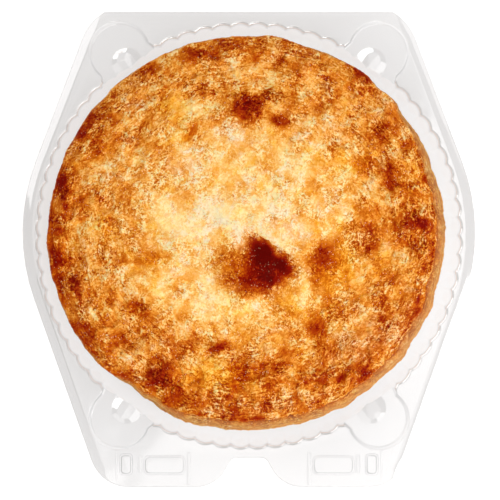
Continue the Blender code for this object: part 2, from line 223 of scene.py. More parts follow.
# the crust has the same form as its solid, with finer flakes on it
crust = {
    "middle": (-1.1, 0.4),
    "radius": 114.0,
    "base": 0.9,
    "rimHeight": 35.0,
    "dome": 8.0,
    "edgeRound": (2.6, 0.93),  # height, share of the radius where the edge starts to turn
    "reliefEnds": 0.95,
    "cells": 248,  # squares across the lid
    "sideSteps": ((0.0, 4.6, 9), (4.6, 12.0, 13), (12.0, 34.1, 11)),  # from, to, rings between
    # direction and half width in degrees, how far out
    "bulges": (
        (8, 14, 0.7),
        (58, 6, 1.0),
        (70, 6, -1.3),
        (82, 6, 1.4),
        (128, 30, 0.8),
        (186, 14, 1.1),
        (234, 10, -4.3),
        (276, 14, -1.2),
    ),
    "rimShows": (-44, 94, 0.6),  # direction, half width, share of it where it shows in full
    # side below the lid's edge: drop, inset where the rim is covered, inset where it shows
    "side": (
        (0.0, 1.5, 6.6),
        (2.6, 0.5, 5.6),
        (3.8, 0.9, 5.9),
        (4.6, 0.2, 2.6),
        (8.0, 0.0, 0.0),
        (17.0, 4.0, 3.4),
        (31.5, 13.0, 13.0),
        (34.1, 16.4, 16.4),
    ),
    # height of all waves round the pie, then how often they come, start of the noise, and for
    # the lid the share of the radius where they start
    "wave": 1.3,
    "outlineWaves": (9, 3.0),
    "lidWaves": (5, 8.0, 0.5),
    "sideCrumb": (8.0, 0.9),  # size, height
    # x, y, half length, half width, direction, height
    "blisters": (
        (9.2, -18.5, 13.0, 11.0, 0.3, 3.2),
        (-9.5, -20.5, 11.0, 8.0, 0.0, 1.2),
        (0.6, 74.8, 14.0, 7.0, 0.15, 2.6),
        (18.0, 65.5, 6.5, 4.5, 0.5, 1.5),
        (-17.0, -62.5, 5.5, 5.0, 0.0, 1.7),
        (-105.0, 28.5, 4.5, 11.0, 0.1, 1.4),
        (-2.2, -35.0, 12.0, 8.0, 0.0, 1.6),
        (14.0, 24.0, 34.0, 22.0, 0.5, 2.2),
        (-42.0, -4.0, 16.0, 10.0, 1.2, 1.3),
        (62.0, 22.0, 10.0, 18.0, 0.3, 1.4),
        (45.0, -52.0, 16.0, 9.0, -0.6, 1.3),
        (-55.0, -58.0, 15.0, 9.0, 0.8, 1.4),
        (-48.0, 58.0, 18.0, 9.0, 0.7, 1.3),
    ),
    # start, end, height
    "fold": (
        ((3.5, 7.7), (19.0, -4.5), 1.8),
        ((19.0, -4.5), (29.5, -10.5), 1.8),
        ((29.5, -10.5), (37.6, 1.0), 1.5),
        ((32.0, -11.0), (30.6, -37.0), 0.7),
    ),
    "foldHalf": 3.4,  # half width
    "lumps": ((30.0, 1.4, 1.8), (13.0, 0.6, 1.8), (6.5, 0.25, 1.2)),  # size, middle, rim
    "lumpLayers": (4.0, 1.7),  # step and start of the noise
    "craggy": (0.45, 0.85),  # share of the radius from, to
    "flake": (10.0, 1.3, 0.13, 0.12),  # size, rise, tilt, share of it in the middle
    "flakeNoise": (0.5, 3.1),  # layer of the noise, stride between the chances of neighbours
    # finer flakes than the solid has: length, width, rise, tilt, gap depth, share in the middle
    "slivers": (4.6, 3.0, 0.45, 0.12, 0.3, 0.15),
    "chips": (2.4, 1.9, 0.3, 0.14, 0.2, 0.15),
    "chipTurn": 0.8,  # radians that chips lie askew to slivers
    "chipGap": 0.7,  # how dark the painted shade in the gaps of chips is, beside that of slivers
    "gapWidth": 0.09,  # share of a flake
    "leanWander": (22.0, 0.9),  # size, turn
    "crumbs": ((2.2, 0.2), (1.3, 0.1)),  # size, height
    "crumbsInMiddle": 0.4,  # share of them there
    # share of the radius where the lid gets rough, from and to, then size and reach of its wobble
    "roughFrom": (0.35, 0.8, 18.0, 0.12),
    "fineEnds": 0.985,  # share of the radius
    "fineOnGlaze": 0.35,  # share of the fine relief where the glaze is smooth
    "flakyInMiddle": 0.3,  # share of the flaky patches' height there
    "evenReach": 6,  # the fine relief is levelled over this many squares each way
    # thin layers that end in lips one behind the other: sizes and shares of the rise and fall
    # that they follow, how many layers there are to it, height of a lip
    "layers": ((10.0, 1.0), (4.6, 0.5), (2.4, 0.28)),
    "layerCount": 3.0,
    "layerStart": 7.0,  # keeps the count above 0
    "layerShift": 0.5,  # from one broad flake to the next
    "layerLip": 0.5,
    "lipInMiddle": 0.2,
    "layerLines": (2.1, 0.35),  # spacing and depth of the dough's layers at the rim
    "layerDrift": ((10, 0.9, 2.2), (40, 0.5, 5.2)),  # how often, how far, start of the noise
    "ragged": ((24.0, 0.8), (60.0, 0.6)),  # how often the lid's edge runs in and out, how far
    "raggedStart": 3.3,
    # drops from the lid's edge: where the lid ends, the rim's layers show, and the wall is rough
    "lidEnds": (3.4, 5.0),
    "layersShow": (3.6, 4.6, 12.0, 16.0),
    "roughEnds": (14.0, 24.0),
    "wallRough": (90, 0.28, 0.31),  # how often round the pie, how far, change from ring to ring
}

# browned and pale places on the lid: x, y, half length, half width, direction, change of tone
browned = {
    # burnt hollow below the fold, cut off along the fold's lower edge
    "underFold": (
        (14, -17, 9.0, 10.0, 0, -0.34),
        (12, -18, 12.0, 12.5, 0, -0.20),
        (4, -29, 11.5, 8, 0, -0.36),
        (6, -5, 7, 9, 50, -0.34),
        (5, -13, 8, 10, 0, -0.30),
        (-9, -18, 11, 13, 0, -0.35),
        (3, -18, 19, 15, -20, -0.10),
        (21, -16, 8, 5, -35, -0.30),
    ),
    "foldEdge": ((0.6, 3.6), (26.3, -12.9)),
    "foldLip": (0.8, 7.0),  # height of the skin above that edge, how far it carries on
    "lipEdge": (-0.5, 0.7),  # millimetres past that edge where the skin ends
    "lipEnds": (0.5, 0.75),  # share of the edge's length from its middle
    "burnt": (
        (-1, 74, 8, 6.5, 0, -0.54),
        (11, 79, 7, 3.5, 20, -0.30),
        (-17, -63.5, 6, 5, 0, -0.42),
        (-107, 30, 3.5, 8.5, 8, -0.42),
        (-110, -13, 5, 5.5, 0, -0.36),
        (17, 65.5, 5, 4.5, -20, -0.28),
    ),
    "scorched": (
        (3, 73, 16, 10, 10, -0.13),
        (-105, 19, 3, 6, 0, -0.20),
        (-101, -28, 5.5, 4, 0, -0.24),
        (-108, -30, 2.5, 10, 12, -0.16),
        (-95, 61, 4, 8, -32, -0.24),
        (-85, 73, 9, 4, 50, -0.16),
        (-26, -60, 10, 4, -10, -0.13),
        (-8, -68, 8, 4, -35, -0.12),
        (-30, 105, 9, 4, 10, -0.12),
        (-8, 109, 9, 3.5, 0, -0.14),
        (5, 100, 5, 3.5, 0, -0.20),
        (17, 100, 3.5, 3.5, 0, -0.16),
        (81, 35, 4.5, 8, 12, -0.24),
        (72, 37, 9, 4, -40, -0.14),
        (76, 60, 4.5, 6, 0, -0.18),
        (66, 88, 4, 9, 30, -0.16),
        (88, 51, 5, 7, 0, -0.10),
        (96, 6, 10, 4, 5, -0.18),
        (66, 5, 9, 4, -20, -0.12),
        (70, -7, 4, 4, 0, -0.20),
        (78, 14, 4, 6, 0, -0.10),
        (41, -13, 6, 8, -20, -0.30),
        (47, -6, 8, 4, 35, -0.15),
        (38, -54, 6.5, 3.5, -10, -0.22),
        (42, -63, 3.5, 5, 0, -0.14),
        (17, -75, 8, 4.5, -10, -0.16),
        (34, -83, 6, 4, 30, -0.12),
        (-76, -15, 10, 3.5, 5, -0.18),
        (-56, -13, 8, 3.5, 0, -0.14),
        (-80, 6, 8, 3, 0, -0.16),
        (-52, -82, 9, 3.5, -20, -0.16),
        (-40, -88, 6, 4, -50, -0.12),
        (-15, -93, 7, 3.5, 0, -0.18),
        (12, -106, 9, 3.5, 0, -0.14),
        (-78, -36, 3, 5, 0, -0.18),
        (-62, -43, 10, 3.5, -50, -0.16),
        (-50, -56, 6, 4, -50, -0.12),
        (-75, -60, 6, 5, 0, -0.12),
        (-32, 58, 8, 5, 10, -0.18),
        (-53, 80, 4, 3.5, 0, -0.14),
        (-24, 82, 6, 3.5, -15, -0.14),
        (-70, 13, 4, 3, 0, -0.10),
        (-62, 36, 5, 4, 0, -0.10),
        (-66, 55, 4, 4, 0, -0.08),
        (-98, 10, 5, 3, 0, -0.10),
        (48, -42, 8, 7, 0, -0.08),
        (-43, -28, 3, 3, 0, -0.14),
        (29, 13, 3, 3, 0, -0.12),
        (-18, 20, 4, 2.5, 0, -0.08),
        (8, 88, 5, 7, 20, -0.08),
        (40, -20, 16, 15, 0, -0.24),
        (62, 0, 14, 11, 0, -0.16),
        (54, -36, 15, 12, 0, -0.09),
        (26, -50, 18, 10, 0, -0.12),
        (-40, -67, 14, 9, 0, -0.08),
        (0, -64, 15, 14, 0, -0.05),
        (0, -78, 16, 8, 0, -0.03),
        (-54, 32, 12, 10, 0, -0.04),
        (-63, 1, 10, 14, 0, -0.035),
        (-36, -62, 14, 12, 0, -0.045),
        (0, -53, 14, 14, 0, -0.04),
        (24, -40, 12, 9, 0, -0.03),
        (40, -68, 10, 9, 0, -0.045),
        # where the edge itself is darker
        (-88, 51, 16, 10, 60, -0.06),
        (-88, -50, 16, 10, -60, -0.07),
        (0, -104, 22, 6, 0, -0.06),
        (52, -90, 20, 6, 30, -0.045),
        (90, -52, 20, 6, 60, -0.05),
    ),
    "pale": (
        (0, 90, 28, 15, 0, 0.07),
        (-38, 66, 20, 14, -30, 0.05),
        (-70, 41, 13, 15, 0, 0.10),
        (-69, -38, 10, 10, 0, 0.04),
        (69, -38, 9, 9, 0, 0.04),
        (-88, 4, 14, 18, 0, 0.05),
        (66, 42, 12, 16, 0, 0.05),
        (40, 68, 15, 14, 0, 0.03),
        (-60, -30, 20, 18, 0, 0.03),
        (-33, 4, 26, 13, 0, 0.10),
        (-26, -40, 26, 11, -12, 0.09),
        (-20, 48, 20, 18, 0, 0.07),
        (-36, 72, 13, 6, -10, 0.12),
        (33, 38, 19, 6, 65, 0.09),
        (14, 20, 12, 10, 0, 0.05),
        (50, 12, 12, 9, 20, 0.05),
        (73, 24, 13, 5, -25, 0.14),
        (34, 80, 6, 14, 0, 0.07),
        (58, -24, 12, 11, -20, 0.06),
        (11, -50, 10, 8, 0, 0.06),
        (31, -29, 3, 11, 0, 0.20),
        (26, -16, 4, 2.5, 0, 0.16),
        (-68, 60, 14, 7, 10, 0.07),
        (-90, 26, 9, 12, 0, 0.07),
        (-88, -22, 7, 6, 0, 0.12),
        (-86, -48, 8, 5, -40, 0.06),
        (-52, -31, 10, 9, 0, 0.06),
        (92, 66, 9, 6, -50, 0.05),
        (-30, -75, 7, 5, 0, 0.07),
        (0, 105, 18, 6, 0, 0.07),
        (90, 52, 14, 6, -60, 0.06),
        (66, -48, 8, 10, 0, 0.05),
    ),
    # places where the glaze is more golden, then where it is creamier: change of hue
    "golden": (
        (48, -18, 15, 18, 0, -0.30),
        (36, -45, 24, 11, 0, -0.22),
        (-16, -80, 22, 10, -10, -0.34),
        (-85, 4, 8, 12, 0, -0.26),
        (-36, 64, 16, 15, -30, -0.26),
        (-14, -4, 5, 5, 0, -0.24),
        (-8, -18, 11, 12, 0, -0.30),
        (-54, -14, 10, 4, 0, -0.26),
        (58, 42, 14, 6, -15, -0.22),
        (10, 78, 26, 8, 0, -0.12),
        (78, -20, 10, 10, 0, -0.12),
    ),
    "creamy": (
        (-37, 42, 12, 10, 0, 0.20),
        (-12, 57, 10, 7, 0, 0.24),
        (-31, 6, 16, 11, 0, 0.18),
        (22, 7, 16, 8, -35, 0.26),
        (0, 2, 9, 7, 0, 0.26),
        (92, -52, 14, 20, -45, 0.16),
        (68, -64, 30, 20, 45, 0.24),
        (0, -98, 30, 9, 0, 0.14),
        (-48, -60, 14, 9, -20, 0.12),
        (92, 66, 10, 14, 30, 0.12),
        (-96, -66, 9, 20, 40, 0.10),
    ),
    # share of the radius, tone
    "byRadius": (
        (0.0, 0.825),
        (0.25, 0.805),
        (0.4, 0.755),
        (0.52, 0.705),
        (0.68, 0.65),
        (0.85, 0.575),
        (1.0, 0.53),
    ),
    # sides of the lid darker in tone as painted shade: direction, half width, change
    "paintedShadeSides": ((250, 42, -0.045), (5, 24, -0.045), (325, 40, -0.06), (180, 45, -0.045)),
    "sidesFrom": (0.4, 0.8),  # share of the radius from, to
    "wander": ((9.0, 2.6), (3.0, 1.1)),  # size and reach of the wobble in every spot's edge
    "patches": ((16.0, 0.075), (8.0, 0.08), (4.0, 0.06)),  # size, change of tone
    # flaky patches stand out from the smooth glaze: sizes of their outline, where it runs,
    # change of tone in the middle and at the rim, height, change of hue
    "flaky": ((8.0, 4.0), (-0.14, 0.12), (0.05, 0.055), 0.5, 0.08),
    "patchInMiddle": 0.62,
    "darkest": (0.30, 0.13),  # below the first tone the bake slows down towards the second
    "plateTone": 0.05,
    "sliverTone": 0.05,
    "chipTone": 0.06,
    # painted shade in the gaps between flakes
    "paintedGapShade": 0.08,
    # painted shade in the hollows of the fine relief, painted light on its raised parts
    "paintedShadeByHeight": 0.16,
    "crest": (0.07, 2.2, 1.6, 0.45, 0.7),  # painted highlight along the fold's crest: tone, place above the edge, half width, its ends
    # how burnt a place is where flakes show on it again, and where they are gone
    "flakesOnBurn": (0.05, 0.2),
    "bareBurn": (0.4, 0.6),
    "bareSmooths": 0.5,
    # the side: drops from the lid's edge and the tones there
    "wallTones": ((4.0, 0.54), (12.0, 0.54), (20.0, 0.58)),
    "mottle": (30, 0.07, 0.2),  # how often round the pie, change of tone, change from ring to ring
    "lineTone": 0.16,
    "crease": (0.35, 3.5, 0.45),  # painted shade in a line under the lid's edge: change of tone, drop, half width
    "wallFrom": (0.5, 4.0),
    "doughFrom": (3.0, 5.0),
    "wallFlaky": 0.8,
    "wallLayers": (20.0, 1.3),  # number of the first one, how many to each line
}

# layers of the noise field, apart from each other so that no pattern repeats
noiseLayer = {
    "slivers": 6.5,
    "chips": 9.5,
    "lean": 11.1,
    "rough": 14.2,
    "wanderX": 20.3,
    "wanderY": 30.7,
    "crumbs": 40.5,
    "patches": 50.5,
    "flaky": 60.5,
    "layers": 70.3,
}


def raised(low, share):
    # a share that starts at low instead of 0
    return low + (1 - low) * share


def grainAt(x, y, size, layer):
    # smooth noise over the lid, from -1 to 1
    places = zip((x / size).tolist(), (y / size).tolist())
    return np.array([noise.noise((a, b, layer)) for a, b in places])


def ringNoise(angle, often, start):
    circle = zip((often * np.cos(angle)).tolist(), (often * np.sin(angle)).tolist())
    return crust["wave"] * np.array([noise.noise((a, b, start)) for a, b in circle])


def turnBetween(angle, degrees):
    return np.abs((angle - math.radians(degrees) + math.pi) % math.tau - math.pi)


def crustOutline(angle):
    radius = crust["radius"] + ringNoise(angle, *crust["outlineWaves"])
    for direction, half, out in crust["bulges"]:
        radius += out * np.exp(-((turnBetween(angle, direction) / math.radians(half)) ** 2))
    return radius


def rimShare(angle):
    # 1 where the bottom crust's rim shows beyond the lid, 0 where the lid covers it
    direction, half, full = crust["rimShows"]
    return 1 - smooth(full, 1.0, turnBetween(angle, direction) / math.radians(half))


def sidePoint(angle, drop):
    # radius and height of the crust's side at one drop below the lid's edge
    drops, covered, shown = np.transpose(crust["side"])
    hidden = np.interp(drop, drops, covered)
    inside = hidden + (np.interp(drop, drops, shown) - hidden) * rimShare(angle)
    fade = 1 - drop / drops[-1]
    often, start, _ = crust["lidWaves"]
    height = crust["rimHeight"] - drop + ringNoise(angle, often, start) * fade
    size, rise = crust["sideCrumb"]
    around = crust["radius"] / size
    columns = (around * np.cos(angle), around * np.sin(angle), height / size)
    rough = rise * np.array([noise.noise(p) for p in zip(*(c.tolist() for c in columns))])
    return crustOutline(angle) - inside + rough * fade, height


def toSegment(x, y, start, end):
    runX, runY = end[0] - start[0], end[1] - start[1]
    share = ((x - start[0]) * runX + (y - start[1]) * runY) / (runX**2 + runY**2)
    share = np.clip(share, 0.0, 1.0)
    return np.hypot(x - start[0] - share * runX, y - start[1] - share * runY)


def turned(x, y, direction):
    return x * np.cos(direction) + y * np.sin(direction), y * np.cos(direction) - x * np.sin(direction)


def bumps(x, y):
    # blisters and the fold
    height = np.zeros_like(x)
    for middleX, middleY, halfLong, halfWide, direction, rise in crust["blisters"]:
        along, aside = turned(x - middleX, y - middleY, direction)
        height += rise * np.exp(-((along / halfLong) ** 2) - (aside / halfWide) ** 2)
    ridges = []
    for start, end, rise in crust["fold"]:
        ridges.append(rise * np.exp(-((toSegment(x, y, start, end) / crust["foldHalf"]) ** 2)))
    return height + np.max(ridges, axis=0)


def lumps(x, y, craggy):
    step, start = crust["lumpLayers"]
    height = np.zeros_like(x)
    for layer, (size, middle, rim) in enumerate(crust["lumps"]):
        height += (middle + (rim - middle) * craggy) * grainAt(x, y, size, step * layer + start)
    return height


def plates(x, y, layer, stride):
    # Voronoi plates: three chances for each, the way from its middle, and the gap to the next
    rows = []
    for a, b in zip(x.tolist(), y.tolist()):
        distances, points = noise.voronoi((a, b, layer))
        chance = noise.cell_vector(points[0] * stride)
        rows.append((*chance, a - points[0].x, b - points[0].y, distances[1] - distances[0]))
    return np.transpose(rows)


def fineFlakes(x, y, direction, layer, spec):
    # slivers that all lean one way within a plate: height, tone chance, how near to a gap
    length, width, rise, tilt, gapDepth, _ = spec
    along, aside = turned(x, y, direction)
    stride = crust["flakeNoise"][1]
    first, second, third, awayX, awayY, gap = plates(along / length, aside / width, layer, stride)
    near = np.exp(-((gap / crust["gapWidth"]) ** 2))
    slope = tilt * ((2 * first - 1) * awayX * length + (2 * second - 1) * awayY * width)
    return rise * third + slope - gapDepth * near, first, near


def roundOff(u, v):
    # the square from -1 to 1 laid onto the disc: share of the radius, and angle
    flat = np.abs(u) > np.abs(v)
    share = np.where(flat, u, v)
    safe = np.where(share == 0, 1.0, share)
    angle = np.where(flat, math.pi / 4 * v / safe, math.pi / 2 - math.pi / 4 * u / safe)
    angle = np.where(share < 0, angle + math.pi, angle)
    return np.abs(share), np.where(share == 0, 0.0, angle)


def wandered(x, y):
    # places pushed about, so that every spot gets a crooked edge
    wanderX, wanderY = x.copy(), y.copy()
    for layer, (size, reach) in enumerate(browned["wander"]):
        wanderX += reach * grainAt(x, y, size, noiseLayer["wanderX"] + layer)
        wanderY += reach * grainAt(x, y, size, noiseLayer["wanderY"] + layer)
    return wanderX, wanderY


def spots(x, y, kind):
    # change of tone or hue by all places of one kind
    change = np.zeros_like(x)
    for middleX, middleY, halfLong, halfWide, direction, amount in browned[kind]:
        along, aside = turned(x - middleX, y - middleY, math.radians(direction))
        change += amount * np.exp(-(np.hypot(along / halfLong, aside / halfWide) ** 3))
    return change


def pastFold(x, y):
    # how far a place lies below the fold's lower edge, in millimetres
    (startX, startY), (endX, endY) = browned["foldEdge"]
    length = math.hypot(endX - startX, endY - startY)
    return ((x - startX) * (endY - startY) - (y - startY) * (endX - startX)) / length


def blurred(values, side, reach):
    # box blur of values that lie on the lid's square grid
    table = np.pad(values.reshape(side, side), reach, mode="edge")
    width = 2 * reach + 1
    for axis in (0, 1):
        total = np.insert(np.cumsum(table, axis=axis), 0, 0.0, axis=axis)
        ends = range(width, total.shape[axis])
        starts = range(total.shape[axis] - width)
        table = (np.take(total, ends, axis=axis) - np.take(total, starts, axis=axis)) / width
    return table.ravel()


def foldPlace(x, y, wanderX, wanderY):
    # how far a place lies below the fold's lower edge, then how far it is from the middle of that
    # edge, as a share of the edge's length
    past = 0.5 * (pastFold(x, y) + pastFold(wanderX, wanderY))
    (startX, startY), (endX, endY) = browned["foldEdge"]
    away = np.hypot(x - (startX + endX) / 2, y - (startY + endY) / 2)
    return past, away / math.hypot(endX - startX, endY - startY)


def broadForm(x, y, angle, share, past, fromMiddle):
    # the lid without its fine flakes: its height, and two chances for each broad flake
    craggy = smooth(*crust["craggy"], share)
    size, rise, tilt, inMiddle = crust["flake"]
    first, second, third, awayX, awayY, _ = plates(x / size, y / size, *crust["flakeNoise"])
    plate = rise * third + size * tilt * ((2 * first - 1) * awayX + (2 * second - 1) * awayY)
    plate *= raised(inMiddle, craggy)
    edgeHeight, edgeFrom = crust["edgeRound"]
    often, start, wavesFrom = crust["lidWaves"]
    height = crust["rimHeight"] + crust["dome"] * (1 - share**2)
    height += ringNoise(angle, often, start) * smooth(wavesFrom, 1.0, share)
    height += edgeHeight * (1 - smooth(edgeFrom, 1.0, share))
    inner = 1 - smooth(crust["reliefEnds"], 1.0, share)
    height += (bumps(x, y) + lumps(x, y, craggy) + plate) * inner
    skinHeight, carries = browned["foldLip"]
    skin = skinHeight * np.exp(np.minimum(past, 0) / carries) * (1 - smooth(*browned["lipEdge"], past))
    return height + skin * (1 - smooth(*browned["lipEnds"], fromMiddle)), second, third


def fineRelief(x, y, turn, strong, side):
    # slivers, chips, crumbs and thin layers: height, change of tone with painted shade in the gaps,
    # count of the layers
    wanderSize, wanderTurn = crust["leanWander"]
    lean = math.pi * turn + wanderTurn * grainAt(x, y, wanderSize, noiseLayer["lean"])
    fine, tone, gaps = 0.0, 0.0, []
    kinds = (("slivers", 0.0, "sliverTone"), ("chips", crust["chipTurn"], "chipTone"))
    for kind, askew, toneName in kinds:
        height, chance, near = fineFlakes(x, y, lean + askew, noiseLayer[kind], crust[kind])
        fine = fine + height * raised(crust[kind][-1], strong)
        tone = tone + browned[toneName] * (chance - 0.5)
        gaps.append(near)
    # painted shade in the gaps between flakes
    tone -= browned["paintedGapShade"] * np.maximum(gaps[0], crust["chipGap"] * gaps[1])
    for i, (size, rise) in enumerate(crust["crumbs"]):
        grains = grainAt(x, y, size, noiseLayer["crumbs"] + i)
        fine += rise * raised(crust["crumbsInMiddle"], strong) * grains
    layers = crust["layerStart"]
    for size, part in crust["layers"]:
        layers = layers + part * grainAt(x, y, size, noiseLayer["layers"] + size)
    layers = crust["layerCount"] * layers + crust["layerShift"] * turn
    lip = (layers % 1.0) ** 2
    fine += crust["layerLip"] * lip * raised(crust["lipInMiddle"], strong)
    return fine - blurred(fine, side, crust["evenReach"]), tone, layers


def bakedTone(x, y, angle, share, wanderX, wanderY, lively):
    # paler in the middle, darker on some sides as painted shade, with patches and the places read off
    # the pie
    tone = np.interp(share, *np.transpose(browned["byRadius"]))
    for direction, half, change in browned["paintedShadeSides"]:
        near = np.exp(-((turnBetween(angle, direction) / math.radians(half)) ** 2))
        tone += change * near * smooth(*browned["sidesFrom"], share)
    for i, (size, change) in enumerate(browned["patches"]):
        tone += 2 * change * lively * grainAt(x, y, size, noiseLayer["patches"] + i)
    for kind in ("pale", "scorched", "burnt"):
        tone += spots(wanderX, wanderY, kind)
    return tone


def lidForm(x, y, angle, share, side):
    # height of the lid, and what the finish reads at every point of it
    wanderX, wanderY = wandered(x, y)
    past, fromMiddle = foldPlace(x, y, wanderX, wanderY)
    height, turn, plateChance = broadForm(x, y, angle, share, past, fromMiddle)
    low, high, size, reach = crust["roughFrom"]
    strong = smooth(low, high, share + reach * grainAt(x, y, size, noiseLayer["rough"]))
    lively = raised(browned["patchInMiddle"], strong)
    fine, fineTone, layers = fineRelief(x, y, turn, strong, side)

    sizes, border, change, rise, hueChange = browned["flaky"]
    flaky = 0.0
    for i, size in enumerate(sizes):
        flaky = flaky + grainAt(wanderX, wanderY, size, noiseLayer["flaky"] + size) / (1 + i)
    flaky = smooth(*border, flaky)
    fine = fine * raised(crust["fineOnGlaze"], flaky)
    inner = 1 - smooth(crust["reliefEnds"], 1.0, share)
    height += rise * (flaky - 0.5) * raised(crust["flakyInMiddle"], strong) * inner
    height += fine * (1 - smooth(crust["fineEnds"], 1.0, share))

    tone = bakedTone(x, y, angle, share, wanderX, wanderY, lively)
    tone += (change[0] + (change[1] - change[0]) * strong) * (flaky - 0.5)
    fineTone += browned["plateTone"] * (2 * plateChance - 1)
    # painted shade in the hollows of the fine relief and painted light on its raised parts
    tone += (fineTone + browned["paintedShadeByHeight"] * np.clip(fine, -1.0, 1.0)) * lively
    # a painted highlight along the fold's crest
    paintedCrestLight, above, half, endsFrom, endsAt = browned["crest"]
    crest = paintedCrestLight * np.exp(-(((past + above) / half) ** 2))
    tone += crest * (1 - smooth(endsFrom, endsAt, fromMiddle))
    slows, darkest = browned["darkest"]
    room = slows - darkest
    slowed = darkest + room * np.exp((np.minimum(tone, slows) - slows) / room)
    tone = np.where(tone < slows, slowed, tone)

    burn = spots(wanderX, wanderY, "underFold")
    bare = smooth(*browned["bareBurn"], -burn)
    # flakes show again at the hollow's border, and are gone where it is bare
    flaky = flaky + (1 - flaky) * smooth(*browned["flakesOnBurn"], -burn) * (1 - bare)
    flaky = flaky * (1 - browned["bareSmooths"] * bare)
    hue = spots(wanderX, wanderY, "golden") + spots(wanderX, wanderY, "creamy")
    hue += hueChange * (2 * flaky - 1)
    read = {"tone": tone, "rim": strong, "hue": hue, "flaky": flaky}
    read.update({"layers": layers, "burn": burn, "past": past})
    return height, read


def aroundRim(angle, out):
    # places for what runs round the rim: four times as long round the pie as across
    reach = crust["radius"] / 4
    return np.stack((out, reach * np.cos(angle), reach * np.sin(angle)), 1) * toMetres


def sideTravel(drop):
    # way down the side's outline from the lid's edge
    drops, _, shown = np.transpose(crust["side"])
    ways = np.hypot(np.diff(drops), np.diff(shown))
    return np.interp(drop, drops, np.concatenate(([0.0], np.cumsum(ways))))


def sideRing(drop, angle, edge):
    # one ring round the side: radius, height, and what the finish reads on it
    reach, level = sidePoint(angle, drop)
    shown = rimShare(angle)
    drift = sum(far * ringNoise(angle, often, start) for often, far, start in crust["layerDrift"])
    notches = sum(far * ringNoise(angle, often, crust["raggedStart"]) for often, far in crust["ragged"])
    spacing, depth = crust["layerLines"]
    phase = (sideTravel(drop) + drift) / spacing
    line = np.sin(math.tau * phase)
    begin, full, fade, end = crust["layersShow"]
    onBand = smooth(begin, full, drop) * (1 - smooth(fade, end, drop))
    often, far, step = crust["wallRough"]
    crumb = far * ringNoise(angle, often, step * drop) * (1 - smooth(*crust["roughEnds"], drop))
    reach = reach + depth * (line - 1) * onBand + crumb
    reach = reach - np.abs(notches) * (1 - smooth(*crust["lidEnds"], drop)) * shown

    often, change, step = browned["mottle"]
    wallTone = np.interp(drop, *np.transpose(browned["wallTones"]))
    wallTone = wallTone + change * ringNoise(angle, often, step * drop)
    wallTone += browned["lineTone"] * line * onBand
    # painted shade in a line under the lid's edge, where the rim shows
    change, creaseDrop, half = browned["crease"]
    crease = change * np.exp(-(((drop - creaseDrop) / half) ** 2)) * shown
    under = smooth(*browned["wallFrom"], drop)
    firstLayer, perLine = browned["wallLayers"]
    read = dict(edge)
    read["tone"] = edge["tone"] * (1 - under) + wallTone * under - crease
    read["wall"] = np.full(len(angle), smooth(*browned["doughFrom"], drop))
    read["flaky"] = edge["flaky"] * (1 - under) + browned["wallFlaky"] * under
    read["layers"] = edge["layers"] * (1 - under) + (firstLayer + perLine * phase) * under
    return reach, level, read


def crustMesh(material):
    side = crust["cells"] + 1
    steps = np.linspace(-1, 1, side)
    u, v = (table.ravel() for table in np.meshgrid(steps, steps))
    share, angle = roundOff(np.round(u, 9), np.round(v, 9))
    radius = share * sidePoint(angle, 0.0)[0]
    middleX, middleY = crust["middle"]
    x, y = middleX + radius * np.cos(angle), middleY + radius * np.sin(angle)
    height, lid = lidForm(x, y, angle, share, side)
    print("lid shaped")

    corner = np.arange(side * side).reshape(side, side)
    quads = np.stack((corner[:-1, :-1], corner[:-1, 1:], corner[1:, 1:], corner[1:, :-1]), -1)
    faces = quads.reshape(-1, 4).tolist()
    loop = np.concatenate((corner[0, :-1], corner[:-1, -1], corner[-1, :0:-1], corner[:0:-1, 0]))
    points = [np.stack((x, y, height), 1)]
    rows = {name: [values] for name, values in lid.items()}
    rows["wall"] = [np.zeros_like(height)]
    around = [aroundRim(angle, radius)]

    # the side is pulled out and down from the lid's edge, ring by ring
    edgeAngle = angle[loop]
    edge = {name: values[loop] for name, values in lid.items()}
    last = loop.tolist()
    total = side * side
    drops = np.concatenate([np.linspace(a, b, n + 1)[1:] for a, b, n in crust["sideSteps"]])
    for drop in drops:
        reach, level, read = sideRing(drop, edgeAngle, edge)
        if drop == drops[-1]:
            level = np.full_like(level, crust["base"])
        ringX, ringY = middleX + reach * np.cos(edgeAngle), middleY + reach * np.sin(edgeAngle)
        points.append(np.stack((ringX, ringY, level), 1))
        for name, values in read.items():
            rows[name].append(values)
        around.append(aroundRim(edgeAngle, radius[loop] + sideTravel(drop)))
        ids = list(range(total, total + len(loop)))
        total += len(loop)
        faces += zip(last, ids, ids[1:] + ids[:1], last[1:] + last[:1])
        last = ids
    faces.append(last[::-1])

    piece = addPiece("crust", np.concatenate(points), faces, "pie", material)
    for name, parts in rows.items():
        keepValues(piece.data, name, np.concatenate(parts))
    layer = piece.data.attributes.new("aroundRim", "FLOAT_VECTOR", "POINT")
    layer.data.foreach_set("vector", np.concatenate(around).astype(np.float32).ravel())
    print("crust made,", len(piece.data.polygons), "faces")


